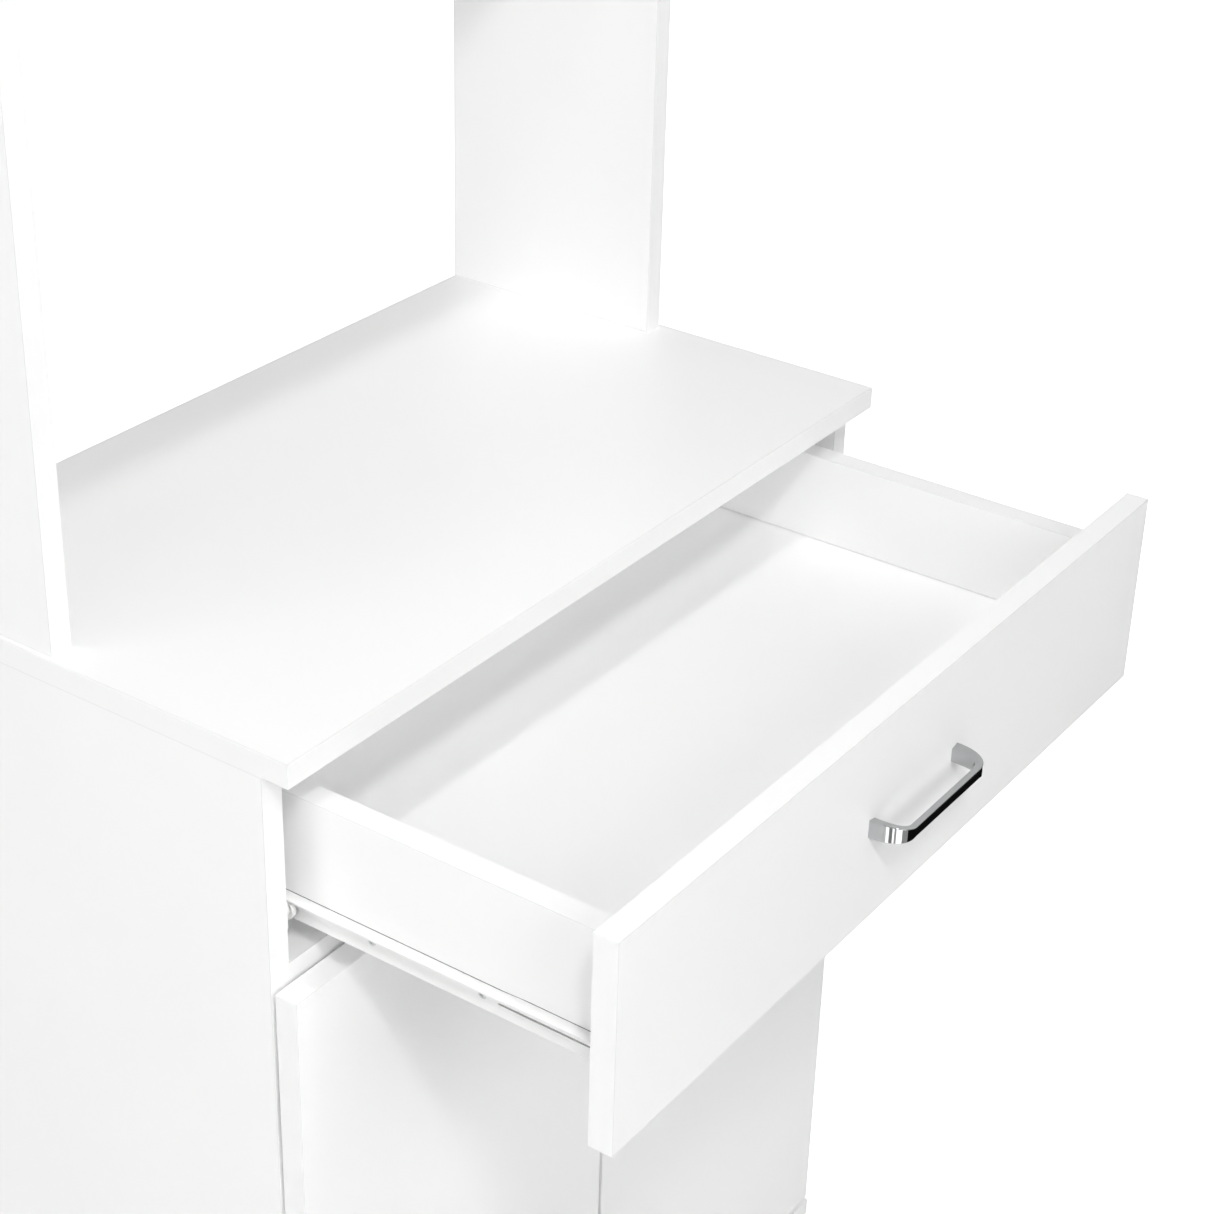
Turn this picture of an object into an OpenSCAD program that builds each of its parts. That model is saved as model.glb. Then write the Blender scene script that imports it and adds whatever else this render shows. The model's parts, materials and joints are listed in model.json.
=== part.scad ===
// Salon styling station: a floor cabinet with one drawer and two doors, and an open hutch
// that carries a mirror. Millimetres, +Z up, the doors face -Y. The drawer is drawn part open.

/* [Station] */
// Width of the countertop
station_w = 600; // [500:10:800]
// Depth of the countertop
station_d = 350; // [320:5:450]
// Height of the countertop above the floor
counter_h = 800; // [760:5:860]
// Height of the whole station
station_h = 1700; // [1500:10:1900]
// Thickness of the melamine boards
board_t = 15; // [15:1:18]

/* [Cabinet] */
// Height of the feet under the base board
foot_h = 56; // [40:1:90]
// Setback of the side panels behind the countertop's front edge
side_setback = 18.5; // [18:0.5:24]
// Height of the drawer bay, from the deck to the underside of the countertop
bay_h = 129; // [120:1:160]
// Thickness of the back panel
back_t = 3; // [3:0.5:5]

/* [Drawer] */
// How far the drawer is drawn out of the cabinet
drawer_open = 210; // [150:5:220]
// Height of the drawer front
front_h = 133.4; // [125:0.1:160]
// Length of the drawer sides
drawer_len = 305; // [250:5:320]
// Height of the drawer sides
drawer_side_h = 80; // [60:1:90]
// Room on each side for one roller slide
slide_gap = 12.5; // [12:0.1:13]

/* [Hutch] */
// Depth of the uprights and the top board
upright_d = 175; // [150:5:250]
// Setback of the uprights from the ends of the countertop
upright_inset = 3.5; // [0:0.5:20]
// Height of the open space between the countertop and the hutch shelf
open_h = 372; // [300:1:450]
// Width of the mirror glass
glass_w = 520; // [400:10:520]
// Height of the mirror glass
glass_h = 470; // [350:10:470]

/* [Handles] */
// Distance between the two screws of a handle
handle_pitch = 96; // [96:32:128]
// How far a handle stands out
handle_out = 23; // [20:1:32]

/* [Hidden] */
$fn = 48;
nudge = 0.01;

half_w = station_w / 2;
inner_w = half_w - board_t;
counter_bottom = counter_h - board_t;
base_top = foot_h + board_t;
deck_top = counter_bottom - bay_h;
deck_bottom = deck_top - board_t;
panel_back = station_d - back_t;

// Fronts stand this far behind the countertop's front edge, with an air gap behind them
front_air = 2.2;
front_back = side_setback - front_air;
front_face = front_back - board_t;

// Y of the countertop's front edge, with the origin in the middle of the whole depth
front_y = -(station_d + front_face - drawer_open - handle_out) / 2;

front_bottom = deck_top - 9;
front_top = front_bottom + front_h;
front_half_w = half_w - 1.5;
door_top = front_bottom - 2.5;
door_bottom = base_top + 3;
door_edge = 0.5;
door_gap = 3;

// Drawer box at the drawn pose
drawer_front_y = front_back - drawer_open;
drawer_back_y = drawer_front_y + drawer_len;
drawer_x = inner_w - slide_gap;
drawer_z = counter_h - 121;
bottom_t = 3;
bottom_z = drawer_z + 14;
groove_d = 5;
groove_play = 0.4;

// Roller slides
steel_t = 1.2;
rail_air = 0.3;
rail_back_x = drawer_x + rail_air;
rail_web_x = rail_back_x + steel_t;
flange_out = 7.5;
flange_top = drawer_z + 15;
flange_bottom = flange_top - steel_t;
roller_play = 0.2;
front_roller_r = 6.4;
front_roller_y = side_setback + 7;
front_roller_z = flange_bottom - roller_play - front_roller_r;
rear_roller_r = 7.4;
rear_roller_y = drawer_back_y - 12;
channel_low = drawer_z + 0.8;
channel_high = channel_low + 2 * rear_roller_r + 0.6;
rear_roller_z = (channel_low + channel_high) / 2;
roller_w = 6;
roller_tread_w = 3;
roller_boss_r = 3.6;
axle_r = 2;
axle_play = 0.05;
rail_end = panel_back - 2;
cabinet_rail_screw_ys = [45, 180, 320];
drawer_rail_screw_ys = [drawer_front_y + 86, drawer_front_y + 161, drawer_front_y + 254];
drawer_rail_screw_z = drawer_z + 8.5;
drawer_rail_screw_r = 1.5;

// Raised stretch at the front of the drawer rail, where the drawer drops shut on its rollers
dip_front = drawer_front_y + 3;
dip_flat = 58;
dip_l = 73;
dip_rise = 0.7;
dip_slit_z = flange_top - 8.9;
dip_slit_h = 1.3;

// Board fittings
cam_reach = 24;
cam_ys = [60, 300];
dowel_ys = [110, 270];
side_mid_x = half_w - board_t / 2;
deck_mid_z = deck_top - board_t / 2;

// Shelf and its row of holes
shelf_z = (base_top + deck_bottom) / 2 - board_t / 2;
shelf_front = 45;
shelf_back = panel_back - 7;
pin_r = 2.5;
pin_step = 32;
pin_ys = [side_setback + 37, panel_back - 37];

// Hutch
upright_x = half_w - upright_inset;
upright_front = station_d - upright_d;
upright_in = upright_x - board_t;
upright_mid_x = upright_x - board_t / 2;
top_bottom = station_h - board_t;
hutch_shelf_z = counter_h + open_h;
hutch_shelf_ys = [upright_front + 40, station_d - 60];
mirror_bottom = hutch_shelf_z + board_t;
mirror_front = station_d - board_t;
mirror_mid_y = mirror_front + board_t / 2;
glass_t = 4;
glass_z = (mirror_bottom + top_bottom - glass_h) / 2;
top_cam_ys = [upright_front + 35, station_d - 40];
mirror_cam_zs = [mirror_bottom + 50, top_bottom - 55];
upright_screw_ys = [upright_front + 30, station_d - 30];
wall_hole_x = 260;
wall_hole_z = top_bottom - 9;
wall_hole_r = 2.75;
clip_x = glass_w / 2 - 90;

// Cup hinges with one pivot, measured from the side panel's outer face and the door's back
pivot_x = 6.5;
pivot_y = -9;
cup_x = 21;
cup_r = 17.5;
cup_depth = 12;
hinge_pin_r = 1.25;
eye_r = 2.25;
arm_half = 4.5;
arm_x = 17;
plate_y = 39.2;
hinge_zs = [door_bottom + 80, door_top - 80];
screw_plate_z = 16;
cup_screw_z = 22.5;
cup_screw_x = 9.5;

// Handles
handle_half = handle_pitch / 2;
foot_half = 5.8;
foot_outer = handle_half + 3.5;
foot_inner = handle_half - 3;
bar_half = 3.1;
bar_t = 4.2;
bend_x = handle_half - 10;
inner_bend_x = bend_x - 4;
handle_screw_r = 2;
handle_thread = 7;
handle_z = front_bottom + front_h / 2 - 1.2;
door_handle_x = 36;
door_handle_z = counter_h - 268;

foot_x = half_w - 45;
foot_ys = [50, station_d - 45];
foot_screw_r = 20;

// ---- helpers: y is always measured back from the countertop's front edge ----

module block(x, y, z) {
    translate([x[0], front_y + y[0], z[0]])
        cube([x[1] - x[0], y[1] - y[0], z[1] - z[0]]);
}

module at(x, y, z) {
    translate([x, front_y + y, z]) children();
}

module both_sides() {
    children();
    mirror([1, 0, 0]) children();
}

// Round rod or bore from z = low to z = high, turned to lie along X or Y
module rod_z(r, low, high) {
    translate([0, 0, low]) cylinder(r = r, h = high - low);
}

module rod_x(r, low, high) {
    rotate([0, 90, 0]) rod_z(r, low, high);
}

module rod_y(r, low, high) {
    rotate([-90, 0, 0]) rod_z(r, low, high);
}

// ---- cam fittings: the joint plane is z = 0, the bolt is screwed into the board above ----
// ---- it, and the cam's pocket opens towards +X ----

module cam_bolt() {
    rod_z(2.45, 0, 10);
    rod_z(3.4, -cam_reach + 1, 0);
}

module cam_lock() {
    difference() {
        translate([0, 0, -cam_reach]) rod_x(7.4, board_t / 2 - 12.2, board_t / 2);
        rod_z(3.8, -cam_reach, 0);
        translate([board_t / 2 - 2, -5, -cam_reach - 0.75]) cube([3, 10, 1.5]);
        translate([board_t / 2 - 2, -0.75, -cam_reach - 5]) cube([3, 1.5, 10]);
    }
}

module cam_edge_cuts() {
    rod_z(3.7, -cam_reach, nudge);
    translate([0, 0, -cam_reach]) rod_x(7.5, board_t / 2 - 12.5, board_t / 2 + nudge);
}

module cam_face_cut() {
    rod_z(2.5, -nudge, 10.5);
}

module dowel() {
    rod_z(4, -19.5, 9.5);
}

module dowel_edge_cut() {
    rod_z(4, -20, nudge);
}

module dowel_face_cut() {
    rod_z(4, -nudge, 10);
}

module at_counter_joint(ys) {
    both_sides() for (y = ys) at(-side_mid_x, y, counter_bottom) children();
}

module at_base_joint(ys) {
    both_sides() for (y = ys) at(-side_mid_x, y, base_top) mirror([0, 0, 1]) children();
}

module at_deck_joint(ys) {
    both_sides() for (y = ys) at(-inner_w, y, deck_mid_z)
        mirror([0, 0, 1]) rotate([0, -90, 0]) children();
}

module at_top_joint(ys) {
    both_sides() for (y = ys) at(-upright_mid_x, y, top_bottom) children();
}

module at_shelf_joint(ys) {
    both_sides() for (y = ys) at(-upright_in, y, hutch_shelf_z + board_t / 2)
        mirror([0, 0, 1]) rotate([0, -90, 0]) children();
}

module at_mirror_joint(zs) {
    both_sides() for (z = zs) at(-upright_in, mirror_mid_y, z)
        rotate([-90, 0, 0]) rotate([0, -90, 0]) children();
}

module at_upright_foot(ys) {
    both_sides() for (y = ys) at(-upright_mid_x, y, counter_h) mirror([0, 0, 1]) children();
}

// Screw with a flat round head that sits on z = 0 and a shank that runs towards -z
module screw(r, length, head_r, head_h) {
    rod_z(r, -length, 0);
    rod_z(head_r, 0, head_h);
}

// ---- cabinet ----

module countertop() {
    color("white") difference() {
        block([-half_w, half_w], [0, station_d], [counter_bottom, counter_h]);
        at_counter_joint(cam_ys) cam_face_cut();
        at_counter_joint(dowel_ys) dowel_face_cut();
        at_upright_foot([upright_front + 60]) dowel_face_cut();
        both_sides() for (y = upright_screw_ys) at(-upright_mid_x, y, counter_bottom) {
            rod_z(3.5, -nudge, board_t + nudge);
            rod_z(5, -nudge, 3);
        }
    }
}

module side_panel() {
    difference() {
        block([-half_w, -inner_w], [side_setback, panel_back], [base_top, counter_bottom]);
        at_counter_joint(cam_ys) cam_edge_cuts();
        at_counter_joint(dowel_ys) dowel_edge_cut();
        at_base_joint(cam_ys) cam_edge_cuts();
        at_base_joint(dowel_ys) dowel_edge_cut();
        at_deck_joint(cam_ys) cam_face_cut();
        at_deck_joint(dowel_ys) dowel_face_cut();
        for (y = pin_ys, row = [-2:2])
            at(-inner_w, y, shelf_z - pin_r + row * pin_step) rod_x(pin_r, -9, nudge);
        for (y = cabinet_rail_screw_ys) at(-inner_w, y, rear_roller_z) rod_x(1.75, -11, nudge);
        for (z = hinge_zs, dz = [-screw_plate_z, screw_plate_z])
            at(-inner_w, front_back + plate_y, z + dz) rod_x(1.75, -12, nudge);
    }
}

module left_side_panel() {
    color("white") side_panel();
}

module right_side_panel() {
    color("white") mirror([1, 0, 0]) side_panel();
}

module base_board() {
    color("white") difference() {
        block([-half_w, half_w], [0, station_d], [foot_h, base_top]);
        at_base_joint(cam_ys) cam_face_cut();
        at_base_joint(dowel_ys) dowel_face_cut();
        at_foot_screws() rod_z(1.75, -nudge, 12);
    }
}

module fixed_deck() {
    color("white") difference() {
        block([-inner_w, inner_w], [side_setback, panel_back], [deck_bottom, deck_top]);
        at_deck_joint(cam_ys) cam_edge_cuts();
        at_deck_joint(dowel_ys) dowel_edge_cut();
        for (x = [-18, 18]) at(x, side_setback + 12, deck_bottom) rod_z(1.5, -nudge, 11);
    }
}

module back_panel() {
    color("white") difference() {
        block([1 - half_w, half_w - 1], [panel_back, station_d],
            [base_top + 0.5, counter_bottom - 0.5]);
        at_back_nails() {
            rod_y(0.8, -back_t - nudge, nudge);
            rod_y(2, -0.5, nudge);
        }
    }
}

module at_back_nails() {
    both_sides() for (k = [0:6])
        at(-side_mid_x, station_d, base_top + 40 + k * (bay_h + deck_bottom) / 7.2) children();
    for (k = [-2:2]) at(k * 110, station_d, deck_mid_z) children();
}

module back_panel_nails() {
    color("silver") at_back_nails() {
        rod_y(0.8, -back_t, -0.5);
        rod_y(2, -0.5, 0);
    }
}

module adjustable_shelf() {
    color("white")
        block([1 - inner_w, inner_w - 1], [shelf_front, shelf_back], [shelf_z, shelf_z + board_t]);
}

module shelf_pins() {
    color("silver") both_sides() for (y = pin_ys) at(-inner_w, y, shelf_z - pin_r) {
        rod_x(pin_r, -8.5, 8);
    }
}

module foot() {
    rotate_extrude() polygon([[0, 0], [15, 0], [16, 1], [16, 6], [14.5, 8], [17, foot_h - 8],
        [25, foot_h - 3], [25, foot_h], [0, foot_h]]);
}

module feet() {
    color("whitesmoke") both_sides() for (y = foot_ys) at(-foot_x, y, 0) difference() {
        foot();
        for (a = [60:120:300])
            rotate([0, 0, a]) translate([foot_screw_r, 0, foot_h]) rod_z(1.75, -6, nudge);
    }
}

module at_foot_screws() {
    both_sides() for (y = foot_ys) at(-foot_x, y, foot_h)
        for (a = [60:120:300]) rotate([0, 0, a]) translate([foot_screw_r, 0, 0]) children();
}

module foot_screws() {
    color("silver") at_foot_screws() rod_z(1.75, -6, 11.5);
}

module cabinet_cam_locks() {
    color("silver") {
        at_counter_joint(cam_ys) cam_lock();
        at_base_joint(cam_ys) cam_lock();
        at_deck_joint(cam_ys) cam_lock();
    }
}

module cabinet_cam_bolts() {
    color("silver") {
        at_counter_joint(cam_ys) cam_bolt();
        at_base_joint(cam_ys) cam_bolt();
        at_deck_joint(cam_ys) cam_bolt();
    }
}

module wood_dowels() {
    color("burlywood") {
        at_counter_joint(dowel_ys) dowel();
        at_base_joint(dowel_ys) dowel();
        at_deck_joint(dowel_ys) dowel();
        at_upright_foot([upright_front + 60]) dowel();
        at_top_joint([upright_front + 80]) dowel();
    }
}

// ---- hutch ----

module upright() {
    difference() {
        block([-upright_x, -upright_in], [upright_front, station_d], [counter_h, top_bottom]);
        at_upright_foot([upright_front + 60]) dowel_edge_cut();
        for (y = upright_screw_ys)
            at(-upright_mid_x, y, counter_h) rod_z(2.5, -nudge, 36);
        at_top_joint(top_cam_ys) cam_edge_cuts();
        at_top_joint([upright_front + 80]) dowel_edge_cut();
        at_mirror_joint(mirror_cam_zs) cam_face_cut();
        at_shelf_joint(hutch_shelf_ys) cam_face_cut();
    }
}

module left_upright() {
    color("white") upright();
}

module right_upright() {
    color("white") mirror([1, 0, 0]) upright();
}

module top_board() {
    color("white") difference() {
        block([-half_w, half_w], [upright_front, station_d], [top_bottom, station_h]);
        at_top_joint(top_cam_ys) cam_face_cut();
        at_top_joint([upright_front + 80]) dowel_face_cut();
    }
}

module hutch_shelf() {
    color("white") difference() {
        block([-upright_in, upright_in], [upright_front, station_d],
            [hutch_shelf_z, hutch_shelf_z + board_t]);
        at_shelf_joint(hutch_shelf_ys) cam_edge_cuts();
    }
}

module mirror_board() {
    color("white") difference() {
        block([-upright_in, upright_in], [mirror_front, station_d], [mirror_bottom, top_bottom]);
        at_mirror_joint(mirror_cam_zs) cam_edge_cuts();
        for (x = [-wall_hole_x, wall_hole_x])
            at(x, mirror_front, wall_hole_z) rod_y(wall_hole_r, -nudge, board_t + nudge);
        at_clips() rod_y(1.5, -nudge, 12);
    }
}

module mirror_glass() {
    color("lightblue") block([-glass_w / 2, glass_w / 2], [mirror_front - glass_t, mirror_front],
        [glass_z, glass_z + glass_h]);
}

// Screw points of the four clips, on the board's front face
module at_clips() {
    for (x = [-clip_x, clip_x]) {
        at(x, mirror_front, glass_z - 6.5) children();
        at(x, mirror_front, glass_z + glass_h + 6.5) mirror([0, 0, 1]) children();
    }
}

module mirror_clips() {
    color("silver") at_clips() difference() {
        union() {
            translate([-8, -glass_t - steel_t, -6]) cube([16, steel_t, 18]);
            translate([-8, -glass_t, -6]) cube([16, glass_t, 12]);
        }
        rod_y(1.5, -glass_t - steel_t - nudge, nudge);
    }
}

module mirror_clip_screws() {
    color("silver") at_clips() translate([0, -glass_t - steel_t, 0])
        rotate([90, 0, 0]) screw(1.5, 16, 3, 1.5);
}

module hutch_cam_locks() {
    color("silver") {
        at_top_joint(top_cam_ys) cam_lock();
        at_mirror_joint(mirror_cam_zs) cam_lock();
        at_shelf_joint(hutch_shelf_ys) cam_lock();
    }
}

module hutch_cam_bolts() {
    color("silver") {
        at_top_joint(top_cam_ys) cam_bolt();
        at_mirror_joint(mirror_cam_zs) cam_bolt();
        at_shelf_joint(hutch_shelf_ys) cam_bolt();
    }
}

// Screws driven up through the countertop into the feet of the uprights
module upright_screws() {
    color("silver") both_sides() for (y = upright_screw_ys)
        at(-upright_mid_x, y, counter_bottom) {
            rod_z(4.9, 0.2, 2.9);
            rod_z(3.4, 2.9, board_t);
            rod_z(2.5, board_t, board_t + 35);
        }
}

// ---- roller slides, drawn for the left side ----

module cabinet_rail() {
    difference() {
        union() {
            block([-inner_w, steel_t - inner_w], [side_setback + 0.5, rail_end],
                [channel_low - steel_t, channel_high + steel_t]);
            block([-inner_w, 9.5 - inner_w], [side_setback + 16, rail_end],
                [channel_low - steel_t, channel_low]);
            block([-inner_w, 9 - inner_w], [side_setback + 16, rail_end],
                [channel_high, channel_high + steel_t]);
        }
        at(-inner_w, front_roller_y, front_roller_z) rod_x(axle_r, -nudge, 3);
        for (y = cabinet_rail_screw_ys) at(-inner_w, y, rear_roller_z) rod_x(1.75, -nudge, 3);
    }
}

module left_cabinet_rail() {
    color("white") cabinet_rail();
}

module right_cabinet_rail() {
    color("white") mirror([1, 0, 0]) cabinet_rail();
}

module cabinet_rail_screws() {
    color("silver") both_sides() for (y = cabinet_rail_screw_ys)
        at(steel_t - inner_w, y, rear_roller_z) rotate([0, 90, 0]) screw(1.75, 12, 3.2, 1.1);
}

// Narrow tread at x = 0, with a boss beyond it that spaces it from its rail
module roller(r) {
    difference() {
        union() {
            rod_x(r - 0.5, 0, roller_tread_w);
            rod_x(r, 0.5, roller_tread_w - 0.5);
            rod_x(roller_boss_r, roller_tread_w, roller_w);
        }
        rod_x(axle_r + axle_play, -nudge, roller_w + nudge);
    }
}

module front_roller_pins() {
    color("silver") both_sides() at(-inner_w, front_roller_y, front_roller_z) {
        rod_x(axle_r, 0, 8.6);
        rod_x(3.2, 8.6, 9.4);
    }
}

module front_rollers() {
    color("ivory") both_sides()
        at(-inner_w + 2.4 + roller_w, front_roller_y, front_roller_z)
            mirror([1, 0, 0]) roller(front_roller_r);
}

// Outline drawn in Y and Z, with thickness from x = low to x = high
module side_outline(low, high, points) {
    translate([low, front_y, 0]) rotate([90, 0, 90]) linear_extrude(high - low) polygon(points);
}

// Strip this deep under the drawer rail's top edge, raised along its front stretch
module raised_strip(low, high, back, depth) {
    side_outline(low, high, [
        [dip_front, flange_top + dip_rise], [dip_front + dip_flat, flange_top + dip_rise],
        [dip_front + dip_l, flange_top], [back, flange_top], [back, flange_top - depth],
        [dip_front + dip_l, flange_top - depth],
        [dip_front + dip_flat, flange_top + dip_rise - depth],
        [dip_front, flange_top + dip_rise - depth]]);
}

module drawer_rail() {
    web_back = drawer_back_y - 4;
    difference() {
        union() {
            block([-rail_web_x, -rail_back_x], [dip_front, web_back],
                [drawer_z - steel_t, flange_bottom]);
            raised_strip(-rail_web_x, -rail_back_x, web_back, 3);
            raised_strip(-drawer_x - flange_out, -rail_back_x,
                rear_roller_y - rear_roller_r - 2, steel_t);
            block([-rail_web_x, 12 - drawer_x], [dip_front, web_back],
                [drawer_z - steel_t, drawer_z]);
        }
        block([-rail_web_x - nudge, nudge - rail_back_x], [dip_front - nudge, dip_front + dip_l],
            [dip_slit_z, dip_slit_z + dip_slit_h]);
        for (y = drawer_rail_screw_ys)
            at(-rail_web_x, y, drawer_rail_screw_z) rod_x(drawer_rail_screw_r, -nudge, 3);
        at(-rail_web_x, rear_roller_y, rear_roller_z) rod_x(axle_r, -nudge, 3);
    }
}

module left_drawer_rail() {
    color("white") drawer_rail();
}

module right_drawer_rail() {
    color("white") mirror([1, 0, 0]) drawer_rail();
}

module drawer_rail_screws() {
    color("silver") both_sides() for (y = drawer_rail_screw_ys)
        at(-rail_web_x, y, drawer_rail_screw_z)
            rotate([0, -90, 0]) screw(drawer_rail_screw_r, 12, 2.7, 1.3);
}

module rear_roller_pins() {
    color("silver") both_sides()
        at(-drawer_x, rear_roller_y, rear_roller_z) rod_x(axle_r, -10.2, 0);
}

module rear_rollers() {
    color("ivory") both_sides()
        at(-rail_web_x - 1 - roller_w, rear_roller_y, rear_roller_z) roller(rear_roller_r);
}

// ---- drawer ----

module drawer_front() {
    color("white") difference() {
        block([-front_half_w, front_half_w], [drawer_front_y - board_t, drawer_front_y],
            [front_bottom, front_top]);
        at_drawer_dowels(drawer_front_y) rod_y(4, -10, nudge);
        at_bracket_holes() rod_y(1.5, -11, nudge);
        for (x = [-handle_half, handle_half])
            at(x, drawer_front_y, handle_z) rod_y(handle_screw_r + 0.25, -board_t - nudge, nudge);
    }
}

// The groove that the drawer bottom sits in, in the sides and the back
module bottom_slot() {
    block([-drawer_x + board_t - groove_d - groove_play,
            drawer_x - board_t + groove_d + groove_play],
        [drawer_front_y - nudge, drawer_back_y - board_t + groove_d + groove_play],
        [bottom_z, bottom_z + bottom_t + groove_play]);
}

module at_drawer_dowels(y) {
    both_sides() for (z = [drawer_z + 38, drawer_z + 62])
        at(-drawer_x + board_t / 2, y, z) children();
}

module drawer_side() {
    difference() {
        block([-drawer_x, board_t - drawer_x], [drawer_front_y, drawer_back_y],
            [drawer_z, drawer_z + drawer_side_h]);
        bottom_slot();
        at_drawer_dowels(drawer_front_y) rod_y(4, -nudge, 20);
        at_back_dowels() rod_x(4, -10, nudge);
        for (y = drawer_rail_screw_ys)
            at(-drawer_x, y, drawer_rail_screw_z) rod_x(drawer_rail_screw_r, -nudge, 11);
        at(board_t - drawer_x, drawer_front_y + 16, drawer_z + 7) rod_x(1.5, -11, nudge);
    }
}

module at_back_dowels() {
    both_sides() for (z = [drawer_z + 38, drawer_z + 62])
        at(board_t - drawer_x, drawer_back_y - board_t / 2, z) children();
}

module drawer_left_side() {
    color("white") drawer_side();
}

module drawer_right_side() {
    color("white") mirror([1, 0, 0]) drawer_side();
}

module drawer_back() {
    color("white") difference() {
        block([board_t - drawer_x, drawer_x - board_t], [drawer_back_y - board_t, drawer_back_y],
            [drawer_z, drawer_z + drawer_side_h]);
        bottom_slot();
        at_back_dowels() rod_x(4, -nudge, 20);
    }
}

module drawer_bottom() {
    color("white") block(
        [-drawer_x + board_t - groove_d, drawer_x - board_t + groove_d],
        [drawer_front_y, drawer_back_y - board_t + groove_d],
        [bottom_z, bottom_z + bottom_t]);
}

module drawer_dowels() {
    color("burlywood") {
        at_drawer_dowels(drawer_front_y) rod_y(4, -9.5, 19.5);
        at_back_dowels() rod_x(4, -9.5, 19.5);
    }
}

// Small angles under the drawer bottom, which tie the front to the two sides
module drawer_corner_brackets() {
    color("silver") both_sides() difference() {
        union() {
            block([board_t - drawer_x, board_t - drawer_x + steel_t],
                [drawer_front_y, drawer_front_y + 24], [drawer_z + 1, drawer_z + 13]);
            block([board_t - drawer_x, board_t - drawer_x + 24],
                [drawer_front_y, drawer_front_y + steel_t], [drawer_z + 1, drawer_z + 13]);
        }
        at(board_t - drawer_x, drawer_front_y + 16, drawer_z + 7) rod_x(1.5, -nudge, 2);
        at(board_t - drawer_x + 15, drawer_front_y, drawer_z + 7) rod_y(1.5, -nudge, 2);
    }
}

module at_bracket_holes() {
    both_sides() at(board_t - drawer_x + 15, drawer_front_y, drawer_z + 7) children();
}

module drawer_bracket_screws() {
    color("silver") {
        both_sides() at(board_t - drawer_x + steel_t, drawer_front_y + 16, drawer_z + 7)
            rotate([0, 90, 0]) screw(1.5, 12, 3, 1.3);
        at_bracket_holes() translate([0, steel_t, 0]) rotate([-90, 0, 0]) screw(1.5, 12, 3, 1.3);
    }
}

// ---- handles: the feet stand on y = 0, the bar runs along X in front of it ----

// Quarter of an ellipse from the foot, where it leaves the board squarely, to the bar
function leg_curve(rx, ry, x0) = [for (a = [0:10:90]) [x0 + rx * cos(a), -ry * sin(a)]];
function flip_x(points) = [for (k = [len(points) - 1:-1:0]) [-points[k].x, points[k].y]];

module handle_bow() {
    outer = leg_curve(foot_outer - bend_x, handle_out, bend_x);
    inner = leg_curve(foot_inner - inner_bend_x, handle_out - bar_t, inner_bend_x);
    difference() {
        intersection() {
            translate([0, 0, -foot_half]) linear_extrude(2 * foot_half) difference() {
                polygon(concat(outer, flip_x(outer)));
                polygon(concat([[foot_inner, 1]], inner, flip_x(inner), [[-foot_inner, 1]]));
            }
            rotate([90, 0, 0]) linear_extrude(handle_out) polygon([
                [-foot_outer, -foot_half], [-bend_x, -bar_half], [bend_x, -bar_half],
                [foot_outer, -foot_half], [foot_outer, foot_half],
                [bend_x, bar_half], [-bend_x, bar_half], [-foot_outer, foot_half]]);
        }
        for (x = [-handle_half, handle_half])
            translate([x, 0, 0]) rod_y(handle_screw_r, -handle_thread - 0.5, nudge);
    }
}

// Screws from the back of a board: the heads sit on y = board_t
module handle_screw_pair() {
    for (x = [-handle_half, handle_half]) translate([x, board_t, 0])
        rotate([-90, 0, 0]) screw(handle_screw_r, board_t + handle_thread, 4, 2);
}

module drawer_handle() {
    color("silver") at(0, drawer_front_y - board_t, handle_z) handle_bow();
}

module drawer_handle_screws() {
    color("silver") at(0, drawer_front_y - board_t, handle_z) handle_screw_pair();
}

// ---- doors and cup hinges, drawn for the left side ----

module at_hinges() {
    for (z = hinge_zs) at(-half_w, front_back, z) children();
}

module at_door_handle() {
    at(-door_handle_x, front_face, door_handle_z) rotate([0, 90, 0]) children();
}

module door() {
    difference() {
        block([door_edge - half_w, -door_gap / 2], [front_face, front_back],
            [door_bottom, door_top]);
        at_hinges() {
            translate([cup_x, 0, 0]) rod_y(cup_r, -cup_depth - 0.2, nudge);
            for (z = [-cup_screw_z, cup_screw_z])
                translate([cup_x + cup_screw_x, 0, z]) rod_y(1.75, -11.5, nudge);
        }
        at_door_handle() for (x = [-handle_half, handle_half])
            translate([x, 0, 0]) rod_y(handle_screw_r + 0.25, -nudge, board_t + nudge);
    }
}

module hinge_cup() {
    difference() {
        union() {
            translate([cup_x, 0, 0]) rod_y(cup_r, -cup_depth, 0);
            translate([cup_x, 0, 0]) rod_y(cup_r + 1.2, 0, 1);
            translate([cup_x + cup_screw_x - 6, 0, -cup_screw_z]) cube([12, 1, 2 * cup_screw_z]);
            for (z = [-cup_screw_z, cup_screw_z])
                translate([cup_x + cup_screw_x, 0, z]) rod_y(6, 0, 1);
        }
        translate([0, pivot_y - eye_r - 0.25, -arm_half - 0.3])
            cube([cup_x + 3, cup_depth + 3, 2 * arm_half + 0.6]);
        translate([cup_x - 6, -cup_depth + 1, -10]) cube([18, cup_depth + 3, 20]);
        translate([pivot_x, pivot_y, 0]) rod_z(hinge_pin_r, -7.5, 7.5);
        for (z = [-cup_screw_z, cup_screw_z])
            translate([cup_x + cup_screw_x, 0, z]) rod_y(1.75, -nudge, 2);
    }
}

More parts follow.
